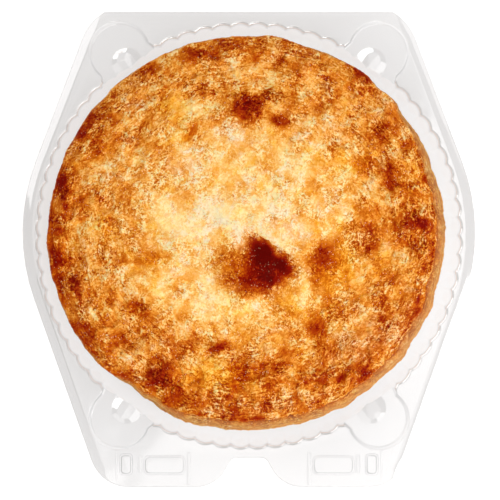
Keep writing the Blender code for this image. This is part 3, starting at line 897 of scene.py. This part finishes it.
crustLook = {
    # tone of the bake, then its colour where it is golden, plain and creamy
    "bake": (
        (0.06, paint(96, 4, 0), paint(96, 4, 0), paint(96, 6, 2)),
        (0.20, paint(136, 14, 0), paint(134, 16, 2), paint(132, 20, 6)),
        (0.34, paint(174, 58, 2), paint(171, 60, 4), paint(168, 62, 10)),
        (0.45, paint(199, 95, 5), paint(197, 97, 12), paint(194, 99, 25)),
        (0.57, paint(224, 132, 21), paint(221, 133, 38), paint(217, 135, 57)),
        (0.69, paint(243, 168, 52), paint(241, 169, 73), paint(238, 171, 96)),
        (0.80, paint(252, 201, 97), paint(251, 202, 123), paint(248, 204, 148)),
        (0.92, paint(255, 230, 145), paint(255, 232, 171), paint(254, 234, 197)),
    ),
    # colour of the painted glints: specks on crumbs and sparkles on the glaze
    "glint": paint(255, 226, 182),
    "dough": paint(193, 147, 95),
    "doughAtWall": 0.6,
    "shine": 0.02,
    "bump": 0.0003,
    # light that goes into the pastry and comes out again: share, reach of each colour in mm
    "glow": 0.25,
    "glowReach": (1.2, 0.5, 0.2),
    # how much of each fine thing goes into the tone and into the relief; in the tone lip and wisp are
    # painted highlights, under and beside painted shadows, glint painted glints
    "inTone": {
        "lip": 0.26,
        "under": -0.22,
        "fleck": 0.13,
        "soft": 0.15,
        "glint": 0.16,
        "strands": 0.70,
        "grit": 1.15,
        "wisp": 0.28,
        "beside": -0.22,
    },
    "inRelief": {
        "lip": 0.9,
        "under": -0.8,
        "fleck": 0.5,
        "soft": 1.0,
        "strands": 1.0,
        "wisp": 0.8,
        "beside": -0.8,
    },
    "darkestDetail": (-0.17, -0.08),  # in the middle, further at the rim
    "lively": (0.56, 0.13),  # share of the detail in the middle, more at the rim
    "onGlaze": 0.5,  # share of it where the glaze is smooth
    "rimFlaky": 0.4,  # how far the rim counts as flaky all over
    "detailOnTone": (0.1, 0.55, 0.5, 1.0),  # from tone, to tone, share of the detail at each
    # share that is held back, tone above which it is at the rim, tone above which it is everywhere
    "palest": (0.4, 0.70, 0.86),
    # noise: size in mm, detail, distortion, roughness, then where it shows: from, to, values there
    "roughness": ((5.0, 3.0), (0.35, 0.65, 0.42, 0.62)),
    "calm": ((9.0, 2.0, 0.8), (0.60, 0.42, 0.5, 1.3)),
    "lipBroken": ((3.4, 2.0, 0.6), (0.36, 0.58)),
    "underBroken": ((4.1, 2.0, 0.6), (0.38, 0.56)),
    "sparkleBroken": ((5.0, 1.0), (0.42, 0.6)),
    # reach of a wander, then its noise
    "foldRagged": (1.6, 2.2, 3.0),
    "lipRagged": (0.6, 1.5, 3.0),
    "soft": (1.0, 2.6, 3.0, 0.8),
    "grit": (1.0, 1.05, 1.0, 0.5),
    "hueWanders": ((0.8, 22.0, 2.0, 0.6), (0.9, 8.0, 2.0, 0.8), (0.8, 3.0, 1.0)),
    "hueAtRim": 0.35,  # wanders this much less there
    "goldenHue": (-0.06, -0.40),
    "creamyHue": (0.01, 0.34),
    "foldSharp": (-0.2, 0.5),  # the hollow's edge, in mm past the fold
    "lip": (0.55, 0.92),  # part of each layer that is pale as a painted highlight, then the part that is dark as a painted shadow
    "under": (0.20, 0.02),
    # level of the noise, half width where it fades and in full, then the patches it shows in; the wisp
    # is a painted highlight line, beside it a painted shadow line
    "wisp": (0.5, (0.06, 0.015), (3.8, 1.0), (0.38, 0.5)),
    "beside": (0.40, (0.05, 0.015), (4.6, 1.0), (0.4, 0.52)),
    # noise in the middle of the lid and round its rim; size and reach of the bends
    "wisps": ((4.2, 2.0, 0.8), (3.4, 2.0, 0.3, 0.5)),
    "strands": ((1.7, 2.0, 0.5, 0.5), (1.5, 2.0, 0.5, 0.55)),
    "strandStretch": (1.0, 0.45, 1.0),
    "strandBend": (7.0, 3.5),
    "rimBend": (6.0, 2.2),
    # size in mm, size and reach of its bends, where a painted glint speck ends and is full, which ones
    # have it
    "crumbs": (1.2, (1.0, 0.7), (0.5, 0.2), (0.66, 0.72)),
    "sparkle": (0.8, (1.4, 0.8), (0.45, 0.2), (0.82, 0.86)),
    "sparkleShare": 0.75,
    "sparkleOnTone": (0.1, 0.5, 0.3, 1.0),
}


def lipLightAndShade(finish, wall):
    # lips of thin layers: a painted highlight on top, a painted shadow line below, both broken up
    layers = finish.read("layers") + finish.wander(*crustLook["lipRagged"])
    phase = finish.node("Math", {"operation": "FRACT"}, {0: layers})
    broken = finish.between(wall, finish.patches(*crustLook["lipBroken"]), 1.0)
    lip = finish.span(phase, *crustLook["lip"]) * broken
    under = finish.span(phase, *crustLook["under"]) * finish.patches(*crustLook["underBroken"])
    return {"lip": lip, "under": under}


def wispLightAndShade(finish, rim, ringPlace):
    # thin wisps, laid round the pie at its rim: a pale painted highlight line with a dark painted
    # shadow line beside it
    inMiddle, atRim = crustLook["wisps"]
    wisps = finish.between(rim, finish.grain(*inMiddle), finish.grain(*atRim, ringPlace))
    lines = {}
    for name in ("wisp", "beside"):
        level, half, *broken = crustLook[name]
        lines[name] = finish.span(abs(wisps - level), *half) * finish.patches(*broken)
    return lines


def strandLines(finish, rim, ringPlace):
    # strands run up and down in the middle and round the pie at its rim
    inMiddle, atRim = crustLook["strands"]
    upAndDown = finish.bend(*crustLook["strandBend"], finish.scaled(crustLook["strandStretch"]))
    strands = finish.between(rim, finish.grain(*inMiddle, upAndDown), finish.grain(*atRim, ringPlace))
    return strands - 0.5


def flecksAndGlints(finish, size, bend, fullFrom, chance):
    # crumbs with crooked outlines: a tone for each, and a painted glint speck in some of them
    shade, away = finish.cells(size, finish.bend(*bend))
    return shade, finish.span(away, *fullFrom) * finish.span(shade, *chance)


def glazeColour(finish, tone, rim, wall):
    # the glaze wanders between golden and creamy
    hue = sum(finish.wander(*wander) for wander in crustLook["hueWanders"])
    hue = finish.read("hue") + hue * (1.0 - crustLook["hueAtRim"] * rim)
    ramps = [[(row[0], row[i]) for row in crustLook["bake"]] for i in (1, 2, 3)]
    golden, plain, creamy = [finish.ramp(tone, stops) for stops in ramps]
    colour = finish.mix(finish.span(hue, *crustLook["goldenHue"]), plain, golden)
    colour = finish.mix(finish.span(hue, *crustLook["creamyHue"]), colour, creamy)
    # sparkles are painted glints
    _, sparkle = flecksAndGlints(finish, *crustLook["sparkle"])
    sparkle = crustLook["sparkleShare"] * sparkle * finish.patches(*crustLook["sparkleBroken"])
    sparkle = sparkle * finish.span(tone, *crustLook["sparkleOnTone"])
    colour = finish.mix(sparkle, colour, crustLook["glint"])
    return finish.mix(crustLook["doughAtWall"] * wall, colour, crustLook["dough"])


def crustFinish():
    finish = Finish("baked crust")
    wall = finish.read("wall")
    rim = finish.read("rim")
    # burnt hollow, cut off sharply along the fold
    past = finish.read("past") + finish.wander(*crustLook["foldRagged"])
    tone = finish.read("tone") + finish.read("burn") * finish.span(past, *crustLook["foldSharp"])

    ringPlace = finish.bend(*crustLook["rimBend"], finish.read("aroundRim", "Vector"))
    fine = lipLightAndShade(finish, wall)
    fine.update(wispLightAndShade(finish, rim, ringPlace))
    fine["strands"] = strandLines(finish, rim, ringPlace)
    fine["fleck"], fine["glint"] = flecksAndGlints(finish, *crustLook["crumbs"])
    fine["soft"] = finish.wander(*crustLook["soft"])
    fine["grit"] = finish.wander(*crustLook["grit"])

    # detail is stronger on flaky places and at the rim, and lies in patches
    flaky = finish.between(crustLook["rimFlaky"] * rim, finish.read("flaky"), 1.0)
    inMiddle, more = crustLook["lively"]
    lively = finish.between(flaky, crustLook["onGlaze"], 1.0) * (inMiddle + more * rim)
    lively = lively * finish.patches(*crustLook["calm"])
    inMiddle, more = crustLook["darkestDetail"]
    # the flecks alone don't swing about 0, so what they add on average is taken off again
    detail = finish.weighed(fine, crustLook["inTone"]) - crustLook["inTone"]["fleck"] / 2
    detail = finish.node("Math", {"operation": "MAXIMUM"}, {0: detail, 1: inMiddle + more * rim})
    # the detail brings painted highlights and painted shadow lines into the tone
    tone = tone + detail * lively * finish.span(tone, *crustLook["detailOnTone"])
    # the palest places stay cream, and tan at the rim
    share, tanFrom, creamFrom = crustLook["palest"]
    tone = tone - share * rim * finish.above(tone, tanFrom)
    tone = tone - share * finish.above(tone, creamFrom)

    height = finish.weighed(fine, crustLook["inRelief"]) * lively
    relief = {"Strength": 1.0, "Distance": crustLook["bump"], "Height": height}
    inputs = {"Base Color": glazeColour(finish, tone, rim, wall)}
    inputs["Normal"] = finish.node("Bump", inputs=relief)
    inputs["Roughness"] = finish.patches(*crustLook["roughness"])
    inputs["Specular IOR Level"] = crustLook["shine"]
    inputs["Subsurface Weight"] = crustLook["glow"]
    inputs["Subsurface Radius"] = crustLook["glowReach"]
    inputs["Subsurface Scale"] = toMetres
    return finish.show(finish.node("BsdfPrincipled", inputs=inputs))


crustMesh(crustFinish())


# the tray is one clear sheet, pressed into a fluted well, four pockets and the snaps
tray = {
    "sheet": 0.6,
    "top": 30.0,
    # flange rim, from the cut edge inwards: share of the slanted band, inset, extra drop
    "rim": (
        (0.0, 0.0, 0.45),
        (0.0, 0.1, 0.15),
        (0.02, 0.3, 0.04),
        (0.08, 0.6, 0.0),
        (0.25, 0.7, 0.0),
        (0.5, 0.8, 0.0),
        (0.75, 0.9, 0.0),
        (0.93, 1.0, 0.0),
        (1.0, 1.1, 0.0),
    ),
    "edgeBand": 5.0,  # width of the slanted band
    "edgeDrop": 1.6,
    "slant": (0.55, 0.85),  # how far an edge faces sideways where the band starts and is full
    "slantCurve": 1.6,
    "cornerStep": 5.0,  # degrees
    # right half of the flange's outline: x, y, rounding
    "outline": (
        (83.1, 128.5, 0),
        (92.5, 122.4, 30.0),
        (137.9, 3.0, 115.0),
        (85.3, -144.8, 23.0),
        (18.6, -144.8, 20.0),
        (9.7, -127.9, 5.0),
    ),
    "flutes": 72,
    "flutePoints": 10,
    # the well's inner side: radius at a flute's crest, height, rounding
    "well": (
        (104.0, 0.6, 0),
        (109.9, 0.6, 2.5),
        (121.15, 27.4, 1.2),
        (121.6, 30.0, 2.6),
        (126.0, 30.0, 0),
    ),
    "fluteDepth": ((0.6, 0.4), (3.0, 1.0), (30.0, 1.6)),  # height, depth
    "profileStep": 9.0,  # degrees
    "pocket": (74.5, 105.5),  # x and y of its middle
    "pocketPoints": 44,
    # the pockets' inner sides: radius, height, rounding
    "ledge": (
        (12.0, 26.0, 0),
        (16.4, 26.0, 0.8),
        (17.2, 29.0, 0.5),
        (17.5, 30.0, 1.0),
        (20.0, 30.0, 0),
    ),
    "ledgeSpread": 16.0,  # degrees
    "ledgeReach": 16.0,
    "trough": (
        (0.4, 24.7, 0),
        (4.4, 24.7, 1.5),
        (8.4, 25.83, 0),
        (9.0, 26.0, 0.8),
        (12.0, 26.0, 0),
    ),
    "troughShift": (7.4, 5.0),  # at its top edge, at its floor
    "troughFall": 0.16,  # for each millimetre towards the well
    "troughReach": 18.0,
    "cutOver": 2.0,  # how far the solids that cut go past the sheet
    "cutFlare": 0.1,  # how much wider they are there
    "underTop": 1.05,  # the outer sides leave out what is less than this many sheets below the top
    # middle x, middle y, width, length, rise, pressed up from below
    "snaps": (
        (48.6, -132.0, 24.2, 11.4, 1.8, True),
        (70.6, -131.6, 7.6, 12.4, 2.4, True),
        (62.6, -131.4, 2.6, 10.4, 1.4, False),
        (34.6, -134.0, 2.6, 19.0, 0.9, False),
        (76.2, -130.4, 1.2, 20.0, 0.5, False),
    ),
    "snapTaper": 0.8,
    "snapSteps": (0.0, 0.45, 0.8, 1.0),  # shares of the rise
    "snapFoot": 0.05,
    "snapRound": 0.6,  # radius of the corners, as a share of half the width
    "snapCornerStep": 15.0,  # degrees
    "sharp": 50.0,  # degrees between faces above which an edge stays sharp
    "glossy": (29.2, 29.98, 124.0),  # lowest, highest, within this radius
}


def closedForm(name, rings, collection):
    # a solid through rings that all have the same number of points, lowest first
    mesh = bmesh.new()
    loops = [[mesh.verts.new(Vector(point) * toMetres) for point in ring] for ring in rings]
    for lower, upper in zip(loops, loops[1:]):
        for i, corner in enumerate(lower):
            j = (i + 1) % len(lower)
            mesh.faces.new((corner, lower[j], upper[j], upper[i]))
    mesh.faces.new(loops[0][::-1])
    mesh.faces.new(loops[-1])
    mesh.normal_update()
    bmesh.ops.triangulate(mesh, faces=mesh.faces)
    bmesh.ops.recalc_face_normals(mesh, faces=mesh.faces)
    data = bpy.data.meshes.new(name)
    mesh.to_mesh(data)
    mesh.free()
    made = bpy.data.objects.new(name, data)
    collection.objects.link(made)
    return made


def roundedOutline(corners, step):
    points = []
    for i, (x, y, radius) in enumerate(corners):
        here = Vector((x, y))
        if radius == 0:
            points.append(here)
            continue
        before = (Vector(corners[i - 1][:2]) - here).normalized()
        after = (Vector(corners[(i + 1) % len(corners)][:2]) - here).normalized()
        half = before.angle(after) / 2
        start = here + before * radius / math.tan(half)
        end = here + after * radius / math.tan(half)
        middle = here + (before + after).normalized() * radius / math.sin(half)
        count = max(2, round((math.pi - 2 * half) / math.radians(step)))
        for k in range(count + 1):
            onChord = start.lerp(end, k / count)
            points.append(middle + (onChord - middle).normalized() * radius)
    return points


def grownProfile(profile, sheet):
    # the same side seen from below: every point moved out by the sheet's thickness
    grown = []
    for i, point in enumerate(profile):
        run = (profile[min(i + 1, len(profile) - 1)] - profile[max(i - 1, 0)]).normalized()
        grown.append(Vector((point.x + sheet * run.y, point.y - sheet * run.x)))
    return grown


def pressed(corners):
    # inner and outer levels of one pressed form, each a list of (reach, height), lowest first
    inner = roundedOutline(corners, tray["profileStep"])[:-1]
    sheet, top = tray["sheet"], corners[-1][1]
    outer = [point for point in grownProfile(inner, sheet) if point.y < top - tray["underTop"] * sheet]
    outer.append(Vector((outer[-1].x + sheet / 2, top - sheet / 2)))
    inner.append(Vector((inner[-1].x + tray["cutFlare"], top + tray["cutOver"])))
    return inner, outer


def flangeForm(collection):
    mirrored = tuple((-x, y, radius) for x, y, radius in reversed(tray["outline"]))
    outline = roundedOutline(tray["outline"] + mirrored, tray["cornerStep"])
    rings = []
    for across, inset, extraDrop in tray["rim"]:
        ring = []
        for i, point in enumerate(outline):
            before = (point - outline[i - 1]).normalized()
            after = (outline[(i + 1) % len(outline)] - point).normalized()
            along = before + after
            out = Vector((-along.y, along.x)).normalized()
            facing = math.copysign(out.x, out.x * point.x)
            slanted = float(smooth(*tray["slant"], facing))
            reach = inset + tray["edgeBand"] * slanted * across
            drop = tray["edgeDrop"] * slanted * (1 - across) ** tray["slantCurve"] + extraDrop
            ring.append((point.x - out.x * reach, point.y - out.y * reach, tray["top"] - drop))
        rings.append(ring)
    under = [[(x, y, z - tray["sheet"]) for x, y, z in ring] for ring in rings]
    return closedForm("tray", under[::-1] + rings, collection)


def wellRing(radius, height):
    points = []
    count = tray["flutes"] * tray["flutePoints"]
    flute = float(np.interp(height, *np.transpose(tray["fluteDepth"])))
    for i in range(count):
        fromCrest = 2 * (i % tray["flutePoints"]) / tray["flutePoints"] - 1
        reach = radius - flute * fromCrest**2
        angle = math.tau * i / count
        points.append((reach * math.cos(angle), reach * math.sin(angle), height))
    return points


def pocketRing(sideX, sideY, level, shift, spread, reach, fall):
    radius, height = level
    middle = Vector((sideX * tray["pocket"][0], sideY * tray["pocket"][1]))
    inward = -middle.normalized()
    across = Vector((-inward.y, inward.x))
    halfTurn = math.pi / 2 + math.radians(spread)
    local = []
    for i in range(tray["pocketPoints"] + 1):
        angle = math.pi - halfTurn + 2 * halfTurn * i / tray["pocketPoints"]
        local.append((shift + radius * math.cos(angle), radius * math.sin(angle)))
    widening = (reach - local[0][0]) * math.tan(math.radians(spread))
    start, end = (reach, local[0][1] + widening), (reach, local[-1][1] - widening)
    points = []
    for along, aside in [start] + local + [end]:
        place = middle + inward * along + across * aside
        points.append((place.x, place.y, height - fall * (along + radius - shift)))
    return points


def pressForms(shells, hollows):
    # everything that the sheet is pressed into, as solids to join and solids to cut
    for levels, collection in zip(pressed(tray["well"]), (hollows, shells)):
        closedForm("well", [wellRing(*level) for level in levels], collection)
    narrow, wide = tray["trough"][1][0], tray["trough"][-2][0]
    topShift, floorShift = tray["troughShift"]
    for sideX in (-1, 1):
        for sideY in (-1, 1):
            for levels, collection in zip(pressed(tray["ledge"]), (hollows, shells)):
                shape = (0.0, tray["ledgeSpread"], tray["ledgeReach"], 0.0)
                rings = [pocketRing(sideX, sideY, level, *shape) for level in levels]
                closedForm("ledge", rings, collection)
            for levels, collection in zip(pressed(tray["trough"]), (hollows, shells)):
                rings = []
                for level in levels:
                    deep = min(1.0, max(0.0, (wide - level.x) / (wide - narrow)))
                    shift = topShift + (floorShift - topShift) * deep
                    shape = (shift, 0.0, tray["troughReach"], tray["troughFall"] * deep)
                    rings.append(pocketRing(sideX, sideY, level, *shape))
                closedForm("trough", rings, collection)
        snapForms(sideX, shells, hollows)


def snapRing(snap, sideX, height, shrink):
    x, y, width, length = snap[:4]
    halfX, halfY = width / 2 - shrink, length / 2 - shrink
    radius = min(halfX, halfY) * tray["snapRound"]
    signs = ((1, 1), (1, -1), (-1, -1), (-1, 1))
    corners = [(sideX * x + a * halfX, y + b * halfY, radius) for a, b in signs]
    return [(p.x, p.y, height) for p in roundedOutline(corners, tray["snapCornerStep"])]


def snapForms(sideX, shells, hollows):
    sheet, top, foot = tray["sheet"], tray["top"], tray["snapFoot"]
    for snap in tray["snaps"]:
        rise = snap[4]
        taper = min(tray["snapTaper"], snap[2] / 3)
        rings = [snapRing(snap, sideX, top - sheet / 2, 0)]
        for share in tray["snapSteps"]:
            shrink = taper * (1 - math.sqrt(1 - share**2)) if share < 1 else taper
            rings.append(snapRing(snap, sideX, top + foot + (rise - foot) * share, shrink))
        closedForm("snap", rings, shells)
        if snap[5]:
            rings = [
                snapRing(snap, sideX, top - sheet - tray["cutOver"], sheet),
                snapRing(snap, sideX, top + rise - sheet, sheet + taper),
            ]
            closedForm("snapHollow", rings, hollows)


def markGlossy(mesh):
    # the scalloped bend at the well's top edge, which is stretched and shines more
    place = np.empty(3 * len(mesh.vertices))
    mesh.vertices.foreach_get("co", place)
    x, y, z = place.reshape(-1, 3).T / toMetres
    lowest, highest, within = tray["glossy"]
    shines = (z > lowest) & (z < highest) & (np.hypot(x, y) < within)
    keepValues(mesh, "glossy", shines)


def trayMesh(material):
    scene = bpy.context.scene
    shells = bpy.data.collections.new("shells")
    hollows = bpy.data.collections.new("hollows")
    for collection in (shells, hollows):
        scene.collection.children.link(collection)
    sheet = flangeForm(scene.collection)
    pressForms(shells, hollows)
    for operation, collection in (("UNION", shells), ("DIFFERENCE", hollows)):
        modifier = sheet.modifiers.new(operation, "BOOLEAN")
        modifier.operation = operation
        modifier.operand_type = "COLLECTION"
        modifier.collection = collection
        modifier.solver = "MANIFOLD"
    pressedSheet = sheet.evaluated_get(bpy.context.evaluated_depsgraph_get())
    shaped = bpy.data.meshes.new_from_object(pressedSheet)
    for collection in (shells, hollows):
        for helper in list(collection.objects):
            bpy.data.objects.remove(helper)
        bpy.data.collections.remove(collection)
    bpy.data.objects.remove(sheet)
    piece = bpy.data.objects.new("clear_tray", shaped)
    scene.collection.objects.link(piece)
    shaped.materials.clear()
    shaped.materials.append(material)
    shaped.shade_smooth()
    shaped.set_sharp_from_angle(angle=math.radians(tray["sharp"]))
    markGlossy(shaped)
    # large flat faces keep their own direction, so that only the bends shade round
    weighted = piece.modifiers.new("even shading", "WEIGHTED_NORMAL")
    weighted.keep_sharp = True
    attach(piece, "root")
    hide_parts("tray")
    print("tray made,", len(shaped.polygons), "faces")


plastic = {
    "clear": (0.838, 0.838, 0.843, 1.0),
    "thin": (0.902, 0.902, 0.907, 1.0),  # walls, where the pressed sheet is thinner
    "edge": (0.2, 0.2, 0.21, 1.0),
    # how far the sheet turns from the eye where its wall and its edge start, from 0 to 1
    "wallFrom": (0.2, 0.5),
    "edgeFrom": 0.6,
    "roughness": 0.07,
    "waves": 0.0003,
    "waveNoise": (26.0, 1.0),  # size in mm, detail
    # share of light that is mirrored: facing the eye, more when it turns away, and its curve
    "mirrors": (0.085, 0.05, 3.0),
    "wallMirrors": 0.4,  # less on the walls
    "glossyMirrors": 0.18,  # more at the well's top edge
}


def plasticFinish():
    finish = Finish("clear plastic")
    facing = finish.node("LayerWeight", inputs={"Blend": 0.5}, output="Facing")
    waves = finish.grain(*plastic["waveNoise"])
    relief = {"Strength": 1.0, "Distance": plastic["waves"], "Height": waves}
    normal = finish.node("Bump", inputs=relief)
    tints = [{"Color": plastic[name]} for name in ("clear", "thin", "edge")]
    clear, thin, edge = [finish.node("BsdfTransparent", inputs=tint) for tint in tints]
    gloss = finish.node("BsdfAnisotropic", inputs={"Roughness": plastic["roughness"], "Normal": normal})
    rim = finish.span(facing, plastic["edgeFrom"], 1.0)
    wall = finish.span(facing, *plastic["wallFrom"])
    least, more, curve = plastic["mirrors"]
    mirrored = (least + more * facing**curve) * (1.0 - plastic["wallMirrors"] * wall)
    mirrored = mirrored + plastic["glossyMirrors"] * finish.read("glossy")
    body = finish.node("MixShader", inputs={0: wall, 1: clear, 2: thin})
    body = finish.node("MixShader", inputs={0: rim, 1: body, 2: edge})
    return finish.show(finish.node("MixShader", inputs={0: mirrored, 1: body, 2: gloss}))


trayMesh(plasticFinish())


# floor, light and camera
studio = {
    "floor": 6.0,  # metres across
    "floorGlow": 0.75,
    "floorPaint": 0.55,
    "floorRough": 0.9,
    "world": 0.32,
    "worldColour": (1.0, 0.9, 0.78, 1.0),
    "cameraAbove": 1.5,  # metres above the tray's flange
    "viewWidth": 0.2875,  # metres across the picture at the flange
    "middle": (0.63, -8.34),  # what the camera looks at, in millimetres
    # name, azimuth and elevation in degrees, distance, width and height in metres, watts
    "lamps": (
        ("ceiling", 0, 90, 2.6, 1.9, 1.9, 8.0),
        ("overhead", -42, 73, 2.4, 1.3, 1.3, 5.5),
        ("right_side", -52, 37, 1.1, 1.4, 0.44, 9.3),
        ("left_side", 142, 40, 1.2, 0.9, 0.6, 4.0),
        ("behind", 50, 30, 1.3, 1.3, 0.7, 3.7),
    ),
}


def makeFloor():
    bpy.ops.mesh.primitive_plane_add(size=studio["floor"], location=(0, 0, 0))
    floor = bpy.context.object
    floor.name = "floor"
    finish = Finish("pale floor")
    grey = studio["floorPaint"]
    inputs = {"Base Color": (grey, grey, grey, 1), "Roughness": studio["floorRough"]}
    inputs.update({"Emission Color": (1, 1, 1, 1), "Emission Strength": studio["floorGlow"]})
    inputs["Specular IOR Level"] = 0.0
    floor.data.materials.append(finish.show(finish.node("BsdfPrincipled", inputs=inputs)))


def makeLamps():
    for name, azimuth, elevation, distance, width, height, watts in studio["lamps"]:
        turn, rise = math.radians(azimuth), math.radians(elevation)
        flat = math.cos(rise)
        towards = Vector((flat * math.cos(turn), flat * math.sin(turn), math.sin(rise)))
        lamp = bpy.data.lights.new(name, "AREA")
        lamp.shape = "RECTANGLE"
        lamp.size, lamp.size_y = width, height
        lamp.energy = watts
        holder = bpy.data.objects.new(name, lamp)
        holder.location = towards * distance
        holder.rotation_euler = towards.to_track_quat("Z", "Y").to_euler()
        bpy.context.scene.collection.objects.link(holder)


def makeCamera():
    # it looks straight down
    camera = bpy.data.cameras.new("camera")
    camera.sensor_width = 36.0
    camera.lens = camera.sensor_width * studio["cameraAbove"] / studio["viewWidth"]
    holder = bpy.data.objects.new("camera", camera)
    x, y = (value * toMetres for value in studio["middle"])
    holder.location = (x, y, tray["top"] * toMetres + studio["cameraAbove"])
    bpy.context.scene.collection.objects.link(holder)
    bpy.context.scene.camera = holder


def makeStudio():
    scene = bpy.context.scene
    scene.view_settings.view_transform = "Standard"
    makeFloor()
    world = bpy.data.worlds.new("studio")
    scene.world = world
    world.use_nodes = True
    background = world.node_tree.nodes["Background"].inputs
    background["Strength"].default_value = studio["world"]
    background["Color"].default_value = studio["worldColour"]
    makeLamps()
    makeCamera()
    print("studio set")


makeStudio()
